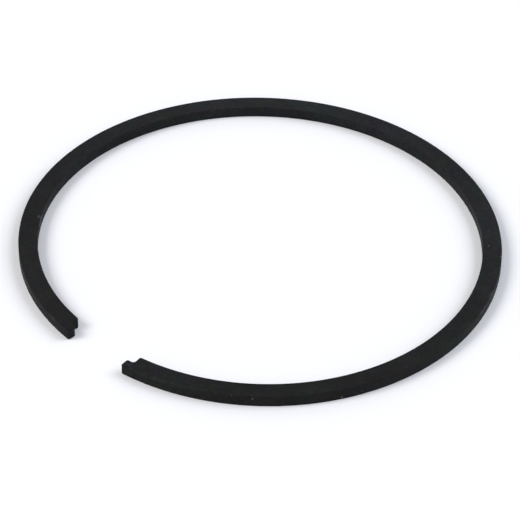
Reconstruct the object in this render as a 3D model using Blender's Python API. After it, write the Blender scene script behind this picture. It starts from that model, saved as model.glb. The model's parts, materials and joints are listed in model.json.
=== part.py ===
"""Piston ring of a small two-stroke engine: a split spring ring with a pin notch inside each end.

The ring is one piece of cast iron, modelled relaxed and lying on its lower side face. Z is the axis of the
bore, the gap faces -Y, and the origin is the middle of the outline on the lower side face.
"""

import bmesh
import bpy
import numpy as np

MM = 0.001

# Cylinder and section
BORE_DIAMETER = 60.0 * MM
RADIAL_WIDTH = 2.5 * MM
AXIAL_HEIGHT = 1.5 * MM
EDGE_BREAK = 0.1 * MM

# Gap between the tips, along the centreline: fitted in the bore, and relaxed
CLOSED_GAP = 0.25 * MM
FREE_GAP = 9.1 * MM

# Notch for the locating pin, cut from the inner side of each end and leaving an outer tongue
NOTCH_LENGTH = 1.05 * MM
TONGUE_WIDTH = 1.2 * MM
NOTCH_FILLET = 0.4 * MM
CORNER_RADIUS = 0.3 * MM

# Facets
BODY_SEGMENTS = 178
FILLET_SEGMENTS = 6
CORNER_SEGMENTS = 4
EDGE_SEGMENTS = 2
CENTRELINE_STEPS = 2000

# Sizes that follow
HALF_WIDTH = RADIAL_WIDTH / 2
MEAN_RADIUS = BORE_DIAMETER / 2 - HALF_WIDTH
TIP = np.pi * MEAN_RADIUS - CLOSED_GAP / 2
SHOULDER = TIP - NOTCH_LENGTH
TONGUE_INNER = HALF_WIDTH - TONGUE_WIDTH

IRON_COLOUR = (0.018, 0.019, 0.02, 1.0)
IRON_ROUGHNESS = 0.55
IRON_METALLIC = 0.2


def heading(angle, spring):
    """Direction that the relaxed ring faces outwards, at an angle of the closed ring from its back.

    A ring that presses evenly all round its bore bends by 1 + cos(angle), so that share of its curvature
    springs back when it is let go. The heading is the curvature summed along the ring.
    """
    return angle - spring * (angle + np.sin(angle))


def relaxed_centreline(spring):
    """Distances along the ring from its back, and the point of the relaxed centreline at each."""
    along = np.linspace(-TIP, TIP, CENTRELINE_STEPS + 1)
    facing = heading(along / MEAN_RADIUS, spring)
    tangents = np.stack([-np.cos(facing), -np.sin(facing)], axis=1)
    steps = (tangents[1:] + tangents[:-1]) / 2 * (along[1] - along[0])
    points = np.concatenate([[[0.0, 0.0]], np.cumsum(steps, axis=0)])
    return along, points - points[CENTRELINE_STEPS // 2]


def spring_for_free_gap():
    """The share of the curvature that springs back, found by halving, for tips FREE_GAP apart."""
    low = 0.0
    high = 0.3
    for _ in range(40):
        middle = (low + high) / 2
        _, points = relaxed_centreline(middle)
        if np.linalg.norm(points[-1] - points[0]) < FREE_GAP:
            low = middle
        else:
            high = middle
    return middle


SPRING = spring_for_free_gap()
CENTRELINE = relaxed_centreline(SPRING)


def bend(along, across):
    """The x, y of a point of the straightened ring: its distance from the back, and outwards of the centreline."""
    distances, points = CENTRELINE
    facing = heading(along / MEAN_RADIUS, SPRING)
    x = np.interp(along, distances, points[:, 0]) - across * np.sin(facing)
    y = np.interp(along, distances, points[:, 1]) + across * np.cos(facing)
    return x, y


def notched_end(root):
    """Outline of one end of the straightened ring, from the outer side at root, round the tip, to the inner."""
    outline = [(root, HALF_WIDTH), (SHOULDER, HALF_WIDTH), (TIP, HALF_WIDTH)]
    for turn in np.linspace(0.0, np.pi / 2, CORNER_SEGMENTS + 1):
        forward = TIP - CORNER_RADIUS * (1 - np.cos(turn))
        down = TONGUE_INNER + CORNER_RADIUS * (1 - np.sin(turn))
        outline.append((forward, down))
    for turn in np.linspace(0.0, np.pi / 2, FILLET_SEGMENTS + 1):
        back = SHOULDER + NOTCH_FILLET * (1 - np.sin(turn))
        down = TONGUE_INNER - NOTCH_FILLET * (1 - np.cos(turn))
        outline.append((back, down))
    for turn in np.linspace(0.0, np.pi / 2, CORNER_SEGMENTS + 1):
        back = SHOULDER - CORNER_RADIUS * (1 - np.cos(turn))
        down = -HALF_WIDTH + CORNER_RADIUS * (1 - np.sin(turn))
        outline.append((back, down))
    outline.append((root, -HALF_WIDTH))
    return outline


def plan_faces():
    """The faces of the ring in plan, straightened: a strip of four-sided faces and a many-sided one at each end."""
    stations = np.linspace(-SHOULDER, SHOULDER, BODY_SEGMENTS + 1)[1:-1]
    faces = []
    for start, end in zip(stations[:-1], stations[1:]):
        faces.append([(start, HALF_WIDTH), (start, -HALF_WIDTH), (end, -HALF_WIDTH), (end, HALF_WIDTH)])
    end_face = notched_end(stations[-1])
    faces.append(end_face)
    faces.append([(-along, across) for along, across in reversed(end_face)])
    return faces


def bent_plan():
    """The faces in plan, bent to the relaxed form and moved to bring the middle of the outline to the origin."""
    faces = [[bend(along, across) for along, across in face] for face in plan_faces()]
    corners = np.array([corner for face in faces for corner in face])
    middle = (corners.min(axis=0) + corners.max(axis=0)) / 2
    return [[(x - middle[0], y - middle[1]) for x, y in face] for face in faces]


def ring_mesh():
    """The ring's solid with sharp edges: the plan faces raised by the axial height."""
    mesh = bpy.data.meshes.new("piston_ring")
    solid = bmesh.new()
    for face in bent_plan():
        solid.faces.new([solid.verts.new((x, y, 0.0)) for x, y in face])
    bmesh.ops.remove_doubles(solid, verts=solid.verts, dist=EDGE_BREAK / 100)
    raised = bmesh.ops.extrude_face_region(solid, geom=solid.faces[:], use_keep_orig=True)
    tops = [item for item in raised["geom"] if isinstance(item, bmesh.types.BMVert)]
    bmesh.ops.translate(solid, verts=tops, vec=(0.0, 0.0, AXIAL_HEIGHT))
    bmesh.ops.recalc_face_normals(solid, faces=solid.faces[:])
    solid.to_mesh(mesh)
    solid.free()
    mesh.shade_smooth()
    return mesh


def iron_material():
    """Black phosphated cast iron."""
    material = bpy.data.materials.new("black_phosphated_iron")
    material.use_nodes = True
    shader = material.node_tree.nodes["Principled BSDF"]
    shader.inputs["Base Color"].default_value = IRON_COLOUR
    shader.inputs["Roughness"].default_value = IRON_ROUGHNESS
    shader.inputs["Metallic"].default_value = IRON_METALLIC
    return material


def build_ring():
    """The ring, with every edge broken by a small radius."""
    ring = bpy.data.objects.new("piston_ring", ring_mesh())
    ring.data.materials.append(iron_material())
    bpy.context.scene.collection.objects.link(ring)
    broken = ring.modifiers.new("edge_break", "BEVEL")
    broken.width = EDGE_BREAK
    broken.segments = EDGE_SEGMENTS
    broken.limit_method = "ANGLE"
    broken.angle_limit = np.radians(40.0)
    broken.use_clamp_overlap = False
    broken.harden_normals = True
    return ring


def main():
    for thing in list(bpy.data.objects):
        bpy.data.objects.remove(thing)
    build_ring()


if __name__ == "__main__":
    main()
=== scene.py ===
"""Looks of the piston ring: black phosphated iron, lying on a white table in soft light.

The ring is made as a straight bar with rounded edges and bent to its relaxed form, at the sizes of its plain
solid. Lengths are in metres, and Z is the axis of the bore.
"""

import json
import math

import bmesh
import bpy
import numpy as np
from bpy.props import FloatProperty, FloatVectorProperty, PointerProperty
from mathutils import Matrix, Vector

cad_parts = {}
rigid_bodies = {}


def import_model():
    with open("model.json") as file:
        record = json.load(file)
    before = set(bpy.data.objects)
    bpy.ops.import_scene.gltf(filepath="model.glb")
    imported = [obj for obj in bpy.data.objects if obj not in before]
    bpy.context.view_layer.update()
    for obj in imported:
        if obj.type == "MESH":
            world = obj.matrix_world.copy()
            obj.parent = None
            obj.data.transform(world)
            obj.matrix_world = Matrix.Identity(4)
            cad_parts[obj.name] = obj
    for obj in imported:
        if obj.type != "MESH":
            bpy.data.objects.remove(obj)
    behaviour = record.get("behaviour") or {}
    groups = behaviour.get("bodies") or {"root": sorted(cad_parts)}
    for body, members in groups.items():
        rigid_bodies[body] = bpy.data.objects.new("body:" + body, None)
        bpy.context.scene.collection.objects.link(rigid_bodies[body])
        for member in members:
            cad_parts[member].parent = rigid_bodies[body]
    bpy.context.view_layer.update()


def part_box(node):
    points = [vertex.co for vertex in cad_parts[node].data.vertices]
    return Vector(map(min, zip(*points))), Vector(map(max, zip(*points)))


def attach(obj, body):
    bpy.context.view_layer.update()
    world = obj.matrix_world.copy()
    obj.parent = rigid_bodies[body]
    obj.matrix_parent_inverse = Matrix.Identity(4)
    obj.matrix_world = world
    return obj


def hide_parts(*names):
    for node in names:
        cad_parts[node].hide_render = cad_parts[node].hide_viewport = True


bl_info = {
    "name": "Piston Ring",
    "version": (1, 0, 0),
    "blender": (4, 5, 0),
    "location": "View3D > Sidebar > Piston Ring",
    "description": "Makes a phosphated piston ring and the table, lamps and camera that show it",
    "category": "Add Mesh",
}

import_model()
RING_LOW, RING_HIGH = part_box("piston_ring")

MM = 0.001

# Facets of the fine ring
BODY_SEGMENTS = 720
TONGUE_SEGMENTS = 7
FILLET_SEGMENTS = 12
EDGE_SEGMENTS = 4
CENTRELINE_STEPS = 4000

# Points nearer than this are one point, and edges that turn more sharply than this angle are rounded
WELD_DISTANCE = 0.001 * MM
ROUNDED_FROM = math.radians(40.0)

# Search for the share of its curvature that the ring springs back by
SPRING_LIMIT = 0.3
HALVINGS = 40

# Grain of the coat: features to a millimetre along the bar, outwards and up
CRYSTALS = (7.0, 7.0, 7.0)
MOTTLE = (1.7, 2.2, 2.2)
CLOUDS = (0.11, 0.3, 0.3)
HUES = (0.42, 0.6, 0.6)
GRINDING_LINES = (0.12, 14.0, 14.0)

# The lighter, cooler coat round the back, partly the coat's own tone and partly painted sheen standing in for
# the brighter reflection on that side of the ring: its middle, and the distances from there over which it
# ends, in millimetres
BACK_MIDDLE = 8.0
BACK_END = (25.0, 60.0)
BACK_WANDER = 16.0

# How strongly the crystals, the mottle and the clouds darken and lighten the coat
SHADE_PLAY = (0.7, 2.2, 1.0)

# Wear: how much the mottle breaks up the worn edges, and the levels between which wear sets in
EDGE_PLAY = 1.4
EDGE_WEAR = (1.1, 1.45)
RUB_EVEN = 0.2
RUB_PATCHES = (0.42, 0.62)

# Where a spot starts to fade and where it ends, as shares of its half size
SPOT_FADE = (0.5, 1.3)

# Relief of the coat
ROUGHNESS_PLAY = 0.08
CRYSTAL_SHARE = 0.7
RELIEF_STRENGTH = 0.6

# Table and camera
TABLE_RADIUS = 0.6
TABLE_SIDES = 96
TABLE_DROP = 0.02 * MM
SENSOR_WIDTH = 36.0
NEAR_CLIP = 0.01

# Mean height, as the sine of its elevation, that an even room's light on the table comes from
MEAN_HEIGHT = 2.0 / 3.0

WHITE = (1.0, 1.0, 1.0, 1.0)

# Specks of dust and small bare scuffs: the place of each on the straight bar, in millimetres along it from
# the back, outwards and up, then its half sizes the same way, and how much of the coat it hides
DUST = (
    ((-26.46, -0.45, 1.5), (0.11, 0.11, 0.1), 0.6),
    ((-28.51, 1.1, 1.5), (0.11, 0.12, 0.12), 0.6),
    ((-75.96, 1.25, 1.46), (0.07, 0.1, 0.08), 0.5),
    ((-73.46, 1.25, 1.15), (0.08, 0.1, 0.16), 0.55),
    ((-62.84, 1.25, 0.33), (0.13, 0.1, 0.11), 0.8),
    ((-61.23, 1.25, 0.55), (0.16, 0.1, 0.05), 0.3),
    ((-60.28, 1.25, 0.5), (0.14, 0.1, 0.05), 0.3),
    ((65.94, -0.95, 1.5), (0.35, 0.14, 0.1), 0.28),
    ((66.0, -1.25, 1.35), (0.2, 0.08, 0.3), 0.4),
    ((66.35, -1.25, 1.05), (0.18, 0.08, 0.25), 0.5),
    ((66.95, -1.25, 0.9), (0.25, 0.08, 0.2), 0.7),
)

# Places where the coat is rubbed thin, written the same way; the two at -36.3 and -38.9 along the right
# side's outer top edge are painted highlight, the bright band that this rounded edge shows where it is seen
# at a grazing angle
RUBS_AND_PAINTED_HIGHLIGHTS = (
    ((-89.6, 0.75, 1.5), (0.45, 0.5, 0.3), 0.35),
    ((-85.0, 1.25, 1.5), (5.0, 0.3, 0.3), 0.2),
    ((86.94, 1.25, 1.4), (0.6, 0.2, 0.35), 0.5),
    ((66.4, -1.25, 1.2), (1.2, 0.3, 0.5), 0.35),
    ((-36.3, 1.25, 1.4), (1.2, 0.2, 0.25), 0.8),
    ((-38.9, 1.25, 1.3), (1.5, 0.2, 0.35), 0.8),
)


class RingSizes(bpy.types.PropertyGroup):
    """Sizes of the ring."""

    bore_diameter: FloatProperty(
        name="Bore", description="Bore that the ring closes into",
        default=60.0 * MM, min=20.0 * MM, unit="LENGTH",
    )
    radial_width: FloatProperty(
        name="Radial Width", description="Width of the side faces, from the outer wall to the inner one",
        default=2.5 * MM, min=0.5 * MM, unit="LENGTH",
    )
    axial_height: FloatProperty(
        name="Height", description="Height between the side faces",
        default=RING_HIGH.z - RING_LOW.z, min=0.3 * MM, unit="LENGTH",
    )
    edge_radius: FloatProperty(
        name="Edge Radius", description="Radius that every edge is broken to",
        default=0.1 * MM, min=0.01 * MM, unit="LENGTH",
    )
    closed_gap: FloatProperty(
        name="Closed Gap", description="Gap between the tips in the bore",
        default=0.25 * MM, min=0.0, unit="LENGTH",
    )
    free_gap: FloatProperty(
        name="Free Gap", description="Distance between the tips when the ring is let go",
        default=9.1 * MM, min=1.0 * MM, unit="LENGTH",
    )
    notch_length: FloatProperty(
        name="Notch Length", description="How far each pin notch reaches back from the tip",
        default=1.05 * MM, min=0.2 * MM, unit="LENGTH",
    )
    tongue_width: FloatProperty(
        name="Tongue Width", description="Width that each notch leaves at the outer side",
        default=1.2 * MM, min=0.2 * MM, unit="LENGTH",
    )
    notch_fillet: FloatProperty(
        name="Notch Fillet", description="Radius in the corner of each notch",
        default=0.4 * MM, min=0.05 * MM, unit="LENGTH",
    )
    corner_radius: FloatProperty(
        name="Corner Radius",
        description="Radius of each notch's two outward corners, at the inner wall and at the tip",
        default=0.3 * MM, min=0.05 * MM, unit="LENGTH",
    )


class RingFinish(bpy.types.PropertyGroup):
    """Colours and surface of the phosphated iron."""

    iron_colour: FloatVectorProperty(
        name="Iron", description="Colour of the coat towards the ends",
        default=(0.0064, 0.0068, 0.0061), size=3, min=0.0, max=1.0, subtype="COLOR",
    )
    # Partly painted sheen: the back's coat is made lighter and bluer to stand in for the brighter reflection
    # on that side
    back_colour_and_painted_sheen: FloatVectorProperty(
        name="Back", description="Colour of the coat round the back of the ring",
        default=(0.0082, 0.0092, 0.0096), size=3, min=0.0, max=1.0, subtype="COLOR",
    )
    hue_play: FloatProperty(
        name="Hue Play", description="How far red, green and blue each wander from the coat's colour",
        default=1.1, min=0.0, max=2.0,
    )
    # Also the colour of the painted highlight on the right outer edge, besides the real worn places
    worn_and_highlight_colour: FloatVectorProperty(
        name="Worn Edge", description="Colour where the coat is rubbed thin",
        default=(0.036, 0.036, 0.041), size=3, min=0.0, max=1.0, subtype="COLOR",
    )
    fleck_colour: FloatVectorProperty(
        name="Flecks", description="Colour of the few specks of dust and bare scuffs",
        default=(0.14, 0.14, 0.145), size=3, min=0.0, max=1.0, subtype="COLOR",
    )
    roughness: FloatProperty(
        name="Roughness", description="Mean roughness of the coat",
        default=0.584, min=0.0, max=1.0, subtype="FACTOR",
    )
    reflection: FloatProperty(
        name="Reflection", description="Specular level of the coat, 0.5 being that of a common varnish",
        default=0.107, min=0.0, max=1.0, subtype="FACTOR",
    )
    reflection_tint: FloatVectorProperty(
        name="Reflection Tint", description="Colour of what the coat reflects head on",
        default=(0.96, 0.99, 1.0), size=3, min=0.0, max=1.0, subtype="COLOR",
    )
    grain_depth: FloatProperty(
        name="Grain Depth", description="Depth of the coat's crystals",
        default=0.006 * MM, min=0.0, unit="LENGTH",
    )


class Studio(bpy.types.PropertyGroup):
    """Table, lamps and camera."""

    table_colour: FloatVectorProperty(
        name="Table", description="Colour of the table",
        default=(0.98, 0.98, 0.98), size=3, min=0.0, max=1.0, subtype="COLOR",
    )
    room_light: FloatProperty(
        name="Room Light", description="Share of the table's light that comes from the room all round",
        default=0.458, min=0.0,
    )
    room_lean: FloatProperty(
        name="Room Lean", description="How much brighter the room is at its foot than an evenly lit one",
        default=1.35, min=0.0, max=2.0,
    )
    room_tint: FloatVectorProperty(
        name="Room Tint", description="Colour of the room's light",
        default=(1.0, 1.0, 1.065), size=3, min=0.0, max=2.0, subtype="COLOR",
    )
    room_fade: FloatProperty(
        name="Overhead Fade", description="How much dimmer reflections show the room overhead",
        default=0.3, min=0.0, max=1.0, subtype="FACTOR",
    )
    left_light: FloatProperty(
        name="Left Lamp", description="Share of the table's light that comes from the left lamp",
        default=0.371, min=0.0,
    )
    right_light: FloatProperty(
        name="Right Lamp", description="Share of the table's light that comes from the right lamp",
        default=0.287, min=0.0,
    )
    left_tint: FloatVectorProperty(
        name="Left Lamp Tint", description="Colour of the left lamp's light",
        default=(1.0, 1.0, 1.0), size=3, min=0.0, max=2.0, subtype="COLOR",
    )
    right_tint: FloatVectorProperty(
        name="Right Lamp Tint", description="Colour of the right lamp's light",
        default=(0.935, 1.0, 1.1), size=3, min=0.0, max=2.0, subtype="COLOR",
    )
    left_azimuth: FloatProperty(
        name="Left Lamp Azimuth",
        description="Direction of the left lamp, from the right of the picture round by its far side",
        default=math.radians(191.0), subtype="ANGLE",
    )
    right_azimuth: FloatProperty(
        name="Right Lamp Azimuth", description="Direction of the right lamp, measured in the same way",
        default=math.radians(6.0), subtype="ANGLE",
    )
    lamp_elevation: FloatProperty(
        name="Lamp Elevation", description="Height of the lamps above the table",
        default=math.radians(42.0), subtype="ANGLE",
    )
    left_distance: FloatProperty(
        name="Left Lamp Distance", description="Distance from the ring to the left lamp",
        default=2.24, min=0.1, unit="LENGTH",
    )
    right_distance: FloatProperty(
        name="Right Lamp Distance", description="Distance from the ring to the right lamp",
        default=1.68, min=0.1, unit="LENGTH",
    )
    lamp_size: FloatProperty(
        name="Lamp Size", description="Side of each square lamp",
        default=1.12, min=0.01, unit="LENGTH",
    )
    camera_azimuth: FloatProperty(
        name="Camera Azimuth", description="Direction that the camera looks in, round from the Y axis",
        default=math.radians(42.2369), subtype="ANGLE",
    )
    camera_elevation: FloatProperty(
        name="Camera Elevation", description="Angle that the camera looks down at",
        default=math.radians(38.7262), subtype="ANGLE",
    )
    camera_roll: FloatProperty(
        name="Camera Roll", description="Tilt of the picture about the line of sight",
        default=math.radians(0.6094), subtype="ANGLE",
    )
    camera_distance: FloatProperty(
        name="Camera Distance", description="Distance from the camera to the point that it looks at",
        default=360.22 * MM, min=50.0 * MM, unit="LENGTH",
    )
    camera_target: FloatVectorProperty(
        name="Camera Target", description="Point on the table in the middle of the picture",
        default=(1.969 * MM, -2.599 * MM, 0.0), size=3, subtype="TRANSLATION",
    )
    camera_lens: FloatProperty(
        name="Lens", description="Focal length in millimetres, for a sensor 36 mm wide",
        default=191.944, min=10.0,
    )


class Wire:
    """One output of a node. Arithmetic on it adds Math nodes."""

    def __init__(self, sheet, socket):
        self.sheet = sheet
        self.socket = socket

    def output(self, name):
        """Another output of the same node."""
        return Wire(self.sheet, self.socket.node.outputs[name])

    def math(self, operation, first, second):
        return self.sheet.node("ShaderNodeMath", {"operation": operation}, {0: first, 1: second})

    def __add__(self, other):
        return self.math("ADD", self, other)

    def __radd__(self, other):
        return self.math("ADD", other, self)

    def __sub__(self, other):
        return self.math("SUBTRACT", self, other)

    def __rsub__(self, other):
        return self.math("SUBTRACT", other, self)

    def __mul__(self, other):
        return self.math("MULTIPLY", self, other)

    def __rmul__(self, other):
        return self.math("MULTIPLY", other, self)

    def __abs__(self):
        return self.math("ABSOLUTE", self, 0.0)


class NodeSheet:
    """The nodes of one material or of the world."""

    def __init__(self, tree):
        self.nodes = tree.nodes
        self.links = tree.links
        self.nodes.clear()

    def node(self, kind, settings=None, inputs=None, output=0):
        """Adds a node: its settings first, then the value or the link of each named or numbered socket."""
        made = self.nodes.new(kind)
        for name, value in (settings or {}).items():
            setattr(made, name, value)
        for key, value in (inputs or {}).items():
            socket = made.inputs[key]
            if isinstance(value, Wire):
                self.links.new(value.socket, socket)
            else:
                socket.default_value = value
        return Wire(self, made.outputs[output]) if made.outputs else made

    def vector(self, operation, *values, output=0):
        """Vector arithmetic. The values are links or triples."""
        return self.node("ShaderNodeVectorMath", {"operation": operation}, dict(enumerate(values)), output)

    def noise(self, place, scale, detail, roughness=0.5):
        """Noise about 0.5, with that many features to a millimetre along each axis of place."""
        scaled = self.vector("MULTIPLY", place, scale)
        return self.node(
            "ShaderNodeTexNoise", None,
            {"Vector": scaled, "Scale": 1.0, "Detail": detail, "Roughness": roughness},
        )

    def spot(self, place, centre, radii):
        """1 at the centre, falling smoothly to 0 near the radii along each axis of place."""
        offset = self.vector("DIVIDE", self.vector("SUBTRACT", place, centre), radii)
        return 1.0 - self.mask(self.vector("LENGTH", offset, output="Value"), *SPOT_FADE)

    def mask(self, value, low, high):
        """0 where value is under low, rising smoothly to 1 where it is over high."""
        return self.node(
            "ShaderNodeMapRange", {"interpolation_type": "SMOOTHSTEP"},
            {"Value": value, "From Min": low, "From Max": high},
        )

    def mix(self, factor, first, second):
        """The first colour, going over to the second as factor rises to 1, by the node's colour sockets."""
        return self.node("ShaderNodeMix", {"data_type": "RGBA"}, {0: factor, 6: first, 7: second}, output=2)


def opaque(colour):
    return (*colour, 1.0)


def new_material(name):
    """An empty material, and the sheet for its nodes."""
    material = bpy.data.materials.new(name)
    material.use_nodes = True
    return material, NodeSheet(material.node_tree)


class RelaxedForm:
    """The centreline of the ring when it is let go, which a straight bar is bent to."""

    def __init__(self, sizes):
        self.half_width = sizes.radial_width / 2
        self.mean_radius = sizes.bore_diameter / 2 - self.half_width
        self.tip = math.pi * self.mean_radius - sizes.closed_gap / 2
        self.shoulder = self.tip - sizes.notch_length
        self.plain_end = self.shoulder - 2 * sizes.corner_radius
        self.along = np.linspace(-self.tip, self.tip, CENTRELINE_STEPS + 1)
        self.spring = self.spring_for(sizes.free_gap)
        self.points = self.centreline(self.spring)

    def heading(self, along, spring):
        """Direction that the ring faces outwards. It springs back by 1 + cos(angle) of its curvature."""
        angle = along / self.mean_radius
        return angle - spring * (angle + np.sin(angle))

    def centreline(self, spring):
        facing = self.heading(self.along, spring)
        tangents = np.stack([-np.cos(facing), -np.sin(facing)], axis=1)
        steps = (tangents[1:] + tangents[:-1]) / 2 * (self.along[1] - self.along[0])
        points = np.concatenate([[[0.0, 0.0]], np.cumsum(steps, axis=0)])
        return points - points[CENTRELINE_STEPS // 2]

    def spring_for(self, free_gap):
        """The share of the curvature that springs back, found by halving, for tips free_gap apart."""
        low, high = 0.0, SPRING_LIMIT
        for _ in range(HALVINGS):
            middle = (low + high) / 2
            points = self.centreline(middle)
            if np.linalg.norm(points[-1] - points[0]) < free_gap:
                low = middle
            else:
                high = middle
        if low == 0.0 or high == SPRING_LIMIT:
            raise ValueError("The ring can't spring open from its closed gap to this free gap")
        return middle

    def bend(self, along, across):
        """The x, y of points of the bar: how far along from its middle, and how far out of its centreline."""
        facing = self.heading(along, self.spring)
        x = np.interp(along, self.along, self.points[:, 0]) - across * np.sin(facing)
        y = np.interp(along, self.along, self.points[:, 1]) + across * np.cos(facing)
        return np.stack([x, y], axis=1)


def notched_end(form, sizes):
    """Outline of one end of the straight bar, from its outer side round the tip to its inner side."""
    notch_depth = sizes.radial_width - sizes.tongue_width
    if sizes.notch_fillet + sizes.corner_radius > min(sizes.notch_length, notch_depth):
        raise ValueError("The notch is too small for its fillet and its corners")
    tongue_inner = form.half_width - sizes.tongue_width
    outer = np.linspace(form.plain_end, form.tip, TONGUE_SEGMENTS + 1)
    outline = [(along, form.half_width) for along in outer]
    for turn in np.linspace(0.0, math.pi / 2, FILLET_SEGMENTS + 1):
        forward = form.tip - sizes.corner_radius * (1 - math.cos(turn))
        down = tongue_inner + sizes.corner_radius * (1 - math.sin(turn))
        outline.append((forward, down))
    for turn in np.linspace(0.0, math.pi / 2, FILLET_SEGMENTS + 1):
        back = form.shoulder + sizes.notch_fillet * (1 - math.sin(turn))
        down = tongue_inner - sizes.notch_fillet * (1 - math.cos(turn))
        outline.append((back, down))
    for turn in np.linspace(0.0, math.pi / 2, FILLET_SEGMENTS + 1):
        back = form.shoulder - sizes.corner_radius * (1 - math.cos(turn))
        down = -form.half_width + sizes.corner_radius * (1 - math.sin(turn))
        outline.append((back, down))
    outline.append((form.plain_end, -form.half_width))
    return outline


def bar_faces(form, sizes):
    """The faces of the straight bar in plan."""
    stations = np.linspace(-form.plain_end, form.plain_end, BODY_SEGMENTS + 1)
    outer, inner = form.half_width, -form.half_width
    faces = []
    for start, end in zip(stations[:-1], stations[1:]):
        faces.append([(start, outer), (start, inner), (end, inner), (end, outer)])
    end_face = notched_end(form, sizes)
    faces.append(end_face)
    faces.append([(-along, across) for along, across in reversed(end_face)])
    return faces


def straight_bar(form, sizes):
    """The straight bar's mesh, with its edges rounded."""
    sharp = bpy.data.meshes.new("sharp_bar")
    solid = bmesh.new()
    for face in bar_faces(form, sizes):
        solid.faces.new([solid.verts.new((along, across, 0.0)) for along, across in face])
    bmesh.ops.remove_doubles(solid, verts=solid.verts, dist=WELD_DISTANCE)
    raised = bmesh.ops.extrude_face_region(solid, geom=solid.faces[:], use_keep_orig=True)
    tops = [item for item in raised["geom"] if isinstance(item, bmesh.types.BMVert)]
    bmesh.ops.translate(solid, verts=tops, vec=(0.0, 0.0, sizes.axial_height))
    bmesh.ops.recalc_face_normals(solid, faces=solid.faces[:])
    solid.to_mesh(sharp)
    solid.free()
    blank = bpy.data.objects.new("bar_blank", sharp)
    bpy.context.scene.collection.objects.link(blank)
    rounding = blank.modifiers.new("edge_radius", "BEVEL")
    rounding.width = sizes.edge_radius
    rounding.segments = EDGE_SEGMENTS
    rounding.limit_method = "ANGLE"
    rounding.angle_limit = ROUNDED_FROM
    rounding.use_clamp_overlap = False
    graph = bpy.context.evaluated_depsgraph_get()
    mesh = bpy.data.meshes.new_from_object(blank.evaluated_get(graph))
    bpy.data.objects.remove(blank)
    return mesh


def bend_mesh(mesh, form):
    """Bends the bar to the ring.

    The finish needs each point's place on the bar, in millimetres, and how far round an edge it is, from 0 on
    the flats to 1 in the middle of a rounded edge of a side face. Both are kept on the mesh.
    """
    places = np.empty(len(mesh.vertices) * 3)
    mesh.vertices.foreach_get("co", places)
    places = places.reshape(-1, 3)
    kept = mesh.attributes.new("bar_place", "FLOAT_VECTOR", "POINT")
    kept.data.foreach_set("vector", (places / MM).ravel())
    upwards = np.clip([vertex.normal.z for vertex in mesh.vertices], -1.0, 1.0)
    rounded = mesh.attributes.new("round_edge", "FLOAT", "POINT")
    rounded.data.foreach_set("value", 2 * np.abs(upwards) * np.sqrt(1 - upwards**2))
    plan = form.bend(places[:, 0], places[:, 1])
    middle = (plan.min(axis=0) + plan.max(axis=0)) / 2
    wanted = np.array([(RING_LOW.x + RING_HIGH.x) / 2, (RING_LOW.y + RING_HIGH.y) / 2])
    bent = np.column_stack([plan - middle + wanted, places[:, 2] + RING_LOW.z])
    mesh.vertices.foreach_set("co", bent.ravel())
    # The bar runs from right to left as the ring does, which turns its faces inside out
    mesh.flip_normals()
    mesh.update()


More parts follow.
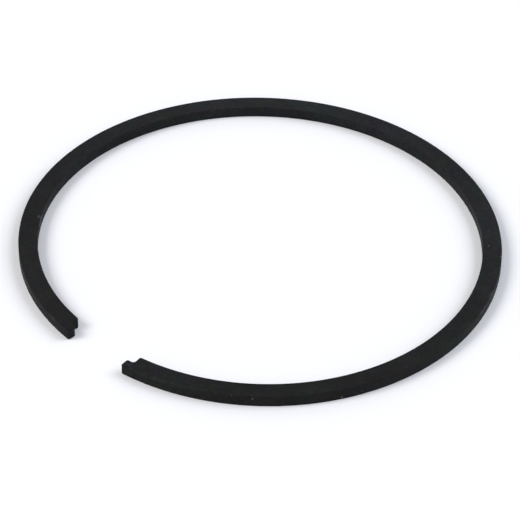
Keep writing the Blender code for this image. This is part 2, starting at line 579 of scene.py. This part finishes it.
def black_phosphated_iron(finish):
    """Matte black phosphate on ground iron: fine crystals, a faint play of hue, worn edges, rubs and dust,
    with painted sheen in the lighter, cooler coat round the back and a painted highlight along the right
    outer edge.
    """
    material, sheet = new_material("black_phosphated_iron")
    place = sheet.node("ShaderNodeAttribute", {"attribute_name": "bar_place"}, output="Vector")
    edge = sheet.node("ShaderNodeAttribute", {"attribute_name": "round_edge"}, output="Fac")
    along = sheet.node("ShaderNodeSeparateXYZ", None, {0: place}, output="X")
    crystals = sheet.noise(place, CRYSTALS, detail=3.0, roughness=0.6)
    mottle = sheet.noise(place, MOTTLE, detail=3.0, roughness=0.6)
    clouds = sheet.noise(place, CLOUDS, detail=1.0)
    hues = sheet.noise(place, HUES, detail=1.5).output("Color")
    lines = sheet.noise(place, GRINDING_LINES, detail=2.0)

    # The coat is lighter and cooler round the back, partly its own tone and partly painted sheen for the
    # brighter reflection there, and its hue and shade wander a little
    from_back = abs(along - BACK_MIDDLE) + BACK_WANDER * (clouds - 0.5)
    towards_ends = sheet.mask(from_back, *BACK_END)
    coat = sheet.mix(towards_ends, opaque(finish.back_colour_and_painted_sheen), opaque(finish.iron_colour))
    play = finish.hue_play
    wander = sheet.vector("MULTIPLY_ADD", hues, (play, play, play), (1 - play / 2,) * 3)
    crystal_play, mottle_play, cloud_play = SHADE_PLAY
    shade = crystal_play * crystals + mottle_play * mottle + cloud_play * clouds + (1 - sum(SHADE_PLAY) / 2)
    coat = sheet.vector("MULTIPLY", coat, wander)
    coat = sheet.node("ShaderNodeVectorMath", {"operation": "SCALE"}, {0: coat, "Scale": shade})

    # Edges worn thin in specks, the rubs together with the painted highlight on the right outer edge, and the
    # dust
    # This mask carries the worn edges and rubs, and also the painted highlight on the right outer edge
    thin = sheet.mask(edge + EDGE_PLAY * (mottle - 0.5), *EDGE_WEAR)
    patchy = RUB_EVEN + sheet.mask(mottle, *RUB_PATCHES)
    for centre, radii, cover in RUBS_AND_PAINTED_HIGHLIGHTS:
        rub_or_highlight = cover * sheet.spot(place, centre, radii) * patchy
        thin = thin.math("MAXIMUM", thin, rub_or_highlight)
    coat = sheet.mix(thin, coat, opaque(finish.worn_and_highlight_colour))
    dust = 0.0
    for centre, radii, cover in DUST:
        dust = cover * sheet.spot(place, centre, radii) + dust
    coat = sheet.mix(dust, coat, opaque(finish.fleck_colour))

    roughness = finish.roughness - ROUGHNESS_PLAY + ROUGHNESS_PLAY * crystals + ROUGHNESS_PLAY * mottle
    relief = CRYSTAL_SHARE * crystals + (1 - CRYSTAL_SHARE) * lines
    bump = sheet.node(
        "ShaderNodeBump", None,
        {"Strength": RELIEF_STRENGTH, "Distance": finish.grain_depth, "Height": relief},
    )
    surface = sheet.node(
        "ShaderNodeBsdfPrincipled", None,
        {
            "Base Color": coat,
            "Roughness": roughness,
            "Specular IOR Level": finish.reflection,
            "Specular Tint": opaque(finish.reflection_tint),
            "Normal": bump,
        },
    )
    sheet.node("ShaderNodeOutputMaterial", None, {"Surface": surface})
    return material


def white_table(studio):
    """White card."""
    material, sheet = new_material("white_table")
    card = sheet.node("ShaderNodeBsdfDiffuse", None, {"Color": opaque(studio.table_colour)})
    sheet.node("ShaderNodeOutputMaterial", None, {"Surface": card})
    return material


def white_world(studio):
    """White for the camera, and a cool white room, dimmer overhead, for light and for reflections."""
    world = bpy.data.worlds.new("white_room")
    world.use_nodes = True
    sheet = NodeSheet(world.node_tree)
    path = sheet.node("ShaderNodeLightPath", output="Is Camera Ray")
    plain = path + path.output("Is Transmission Ray")
    reflected = path.output("Is Glossy Ray")
    direction = sheet.node("ShaderNodeTexCoord", output="Generated")
    upwards = sheet.node("ShaderNodeSeparateXYZ", None, {0: direction}, output="Z")
    height = upwards.math("MAXIMUM", upwards, 0.0)
    shown = 1.0 - studio.room_fade * height
    foot = studio.room_light * (1.0 + studio.room_lean)
    lit = foot - studio.room_light * studio.room_lean / MEAN_HEIGHT * height
    room = reflected * shown + (1.0 - reflected) * lit
    background = sheet.node(
        "ShaderNodeBackground", None,
        {
            "Color": sheet.mix(plain, opaque(studio.room_tint), WHITE),
            "Strength": plain + (1.0 - plain) * room,
        },
    )
    sheet.node("ShaderNodeOutputWorld", None, {"Surface": background})
    return world


def soft_lamp(name, studio, tint, azimuth, distance, share):
    """A square lamp aimed at the ring. The share is of the light that makes the table white."""
    data = bpy.data.lights.new(name, "AREA")
    data.color = tint
    data.size = studio.lamp_size
    data.energy = share * (math.pi * distance) ** 2 / math.sin(studio.lamp_elevation)
    lamp = bpy.data.objects.new(name, data)
    bpy.context.scene.collection.objects.link(lamp)
    aim = (
        Matrix.Rotation(azimuth + studio.camera_azimuth + math.pi / 2, 4, "Z")
        @ Matrix.Rotation(math.pi / 2 - studio.lamp_elevation, 4, "X")
    )
    lamp.matrix_world = aim @ Matrix.Translation((0.0, 0.0, distance))


class RING_OT_make_ring(bpy.types.Operator):
    """Make the phosphated ring in place of its plain solid"""

    bl_idname = "ring.make_ring"
    bl_label = "Make Ring"

    def execute(self, context):
        sizes = context.scene.ring_sizes
        form = RelaxedForm(sizes)
        mesh = straight_bar(form, sizes)
        bend_mesh(mesh, form)
        mesh.shade_smooth()
        ring = bpy.data.objects.new("phosphated_ring", mesh)
        context.scene.collection.objects.link(ring)
        ring.data.materials.append(black_phosphated_iron(context.scene.ring_finish))
        flats = ring.modifiers.new("flat_faces", "WEIGHTED_NORMAL")
        flats.keep_sharp = False
        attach(ring, "root")
        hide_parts("piston_ring")
        return {"FINISHED"}


class RING_OT_set_stage(bpy.types.Operator):
    """Set the table, lamps and camera round the ring"""

    bl_idname = "ring.set_stage"
    bl_label = "Set Stage"

    def execute(self, context):
        scene = context.scene
        studio = scene.ring_studio
        for leftover in list(bpy.data.objects):
            if leftover.type in ("LIGHT", "CAMERA") or leftover.name == "Cube":
                bpy.data.objects.remove(leftover)
        bpy.ops.mesh.primitive_circle_add(vertices=TABLE_SIDES, radius=TABLE_RADIUS, fill_type="NGON")
        table = context.object
        table.name = "table"
        table.location.z = RING_LOW.z - TABLE_DROP
        table.data.materials.append(white_table(studio))
        scene.world = white_world(studio)
        soft_lamp(
            "left_lamp", studio, studio.left_tint,
            studio.left_azimuth, studio.left_distance, studio.left_light,
        )
        soft_lamp(
            "right_lamp", studio, studio.right_tint,
            studio.right_azimuth, studio.right_distance, studio.right_light,
        )

        camera_data = bpy.data.cameras.new("camera")
        camera_data.lens = studio.camera_lens
        camera_data.sensor_width = SENSOR_WIDTH
        camera_data.clip_start = NEAR_CLIP
        camera = bpy.data.objects.new("camera", camera_data)
        scene.collection.objects.link(camera)
        turn = (
            Matrix.Rotation(studio.camera_azimuth, 4, "Z")
            @ Matrix.Rotation(math.pi / 2 - studio.camera_elevation, 4, "X")
            @ Matrix.Rotation(studio.camera_roll, 4, "Z")
        )
        away = turn @ Vector((0.0, 0.0, studio.camera_distance))
        camera.matrix_world = Matrix.Translation(Vector(studio.camera_target) + away) @ turn
        scene.camera = camera
        scene.view_settings.view_transform = "Standard"
        return {"FINISHED"}


class RING_PT_panel(bpy.types.Panel):
    """Piston ring tools"""

    bl_idname = "RING_PT_panel"
    bl_label = "Piston Ring"
    bl_space_type = "VIEW_3D"
    bl_region_type = "UI"
    bl_category = "Piston Ring"

    def draw(self, context):
        for title, group in (
            ("Sizes", context.scene.ring_sizes),
            ("Finish", context.scene.ring_finish),
            ("Studio", context.scene.ring_studio),
        ):
            box = self.layout.box()
            box.label(text=title)
            for name in group.__annotations__:
                box.prop(group, name)
        for operator in OPERATORS:
            self.layout.operator(operator.bl_idname)


GROUPS = {"ring_sizes": RingSizes, "ring_finish": RingFinish, "ring_studio": Studio}
OPERATORS = (RING_OT_make_ring, RING_OT_set_stage)


def register():
    for name, group in GROUPS.items():
        bpy.utils.register_class(group)
        setattr(bpy.types.Scene, name, PointerProperty(type=group))
    for operator in OPERATORS:
        bpy.utils.register_class(operator)
    bpy.utils.register_class(RING_PT_panel)


def unregister():
    bpy.utils.unregister_class(RING_PT_panel)
    for operator in reversed(OPERATORS):
        bpy.utils.unregister_class(operator)
    for name, group in reversed(GROUPS.items()):
        delattr(bpy.types.Scene, name)
        bpy.utils.unregister_class(group)


def main():
    register()
    bpy.ops.ring.make_ring()
    bpy.ops.ring.set_stage()


if __name__ == "__main__":
    main()
